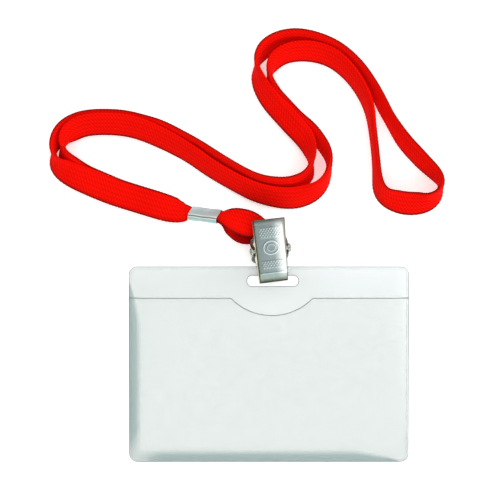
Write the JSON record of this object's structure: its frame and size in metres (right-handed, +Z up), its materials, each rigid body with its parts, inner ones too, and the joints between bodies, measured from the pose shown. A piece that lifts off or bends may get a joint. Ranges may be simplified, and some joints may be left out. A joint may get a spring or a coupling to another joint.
{
  "type": "badge_holder",
  "caption": "Landscape clear plastic badge pocket hung by its punched slot from a two-lever metal spring clip on a long flat red knitted neck strap closed by a metal crimp sleeve",
  "frame": {"origin": "on the surface the object lies on, under the middle of the pocket and clip together (their box without the strap and crimp)", "axes": "+X to the right along the pocket's long side, +Y from the pocket towards the clip and strap, +Z up from the surface, out of the pocket's front sheet"},
  "size_m": [0.1338, 0.1469, 0.012],
  "materials": {
    "clear_sheet_back": "clear flexible plastic film, smooth, a little cloudy",
    "clear_sheet_front": "clear flexible plastic film, smooth",
    "plated_steel": "bright nickel plate on pressed steel",
    "plated_pin": "bright nickel plate on a turned rivet",
    "spring_wire": "drawn spring wire",
    "sleeve_metal": "satin plated sheet, rolled round the strap",
    "red_band": "knitted flat tube of polyester yarn, matt"
  },
  "bodies": {
    "clip_base": {"clip_rear_lever": "plated_steel", "pivot_pin": "plated_pin", "torsion_spring": "spring_wire", "crimp_sleeve": "sleeve_metal", "strap_outer_run": "red_band", "strap_inner_run": "red_band", "strap_clip_loop": "red_band"},
    "front_lever": {"clip_front_lever": "plated_steel"},
    "pocket": {"back_sheet": "clear_sheet_back", "front_sheet": "clear_sheet_front"}
  },
  "joints": [
    {"name": "lever_squeeze", "type": "hinge", "parent": "clip_base", "child": "front_lever", "pos_m": [0.00038, 0.03067, 0.0054], "axis": [-0.9862, -0.1211, 0.1132], "range_deg": [0, 15], "stiffness_Nm_per_rad": 0.05, "springref_deg": -22.92},
    {"name": "pocket_swing", "type": "hinge", "parent": "clip_base", "child": "pocket", "pos_m": [0.00131, 0.02008, 0.00395], "axis": [0, -0.06, 0.9982], "range_deg": [-5, 17]}
  ]
}
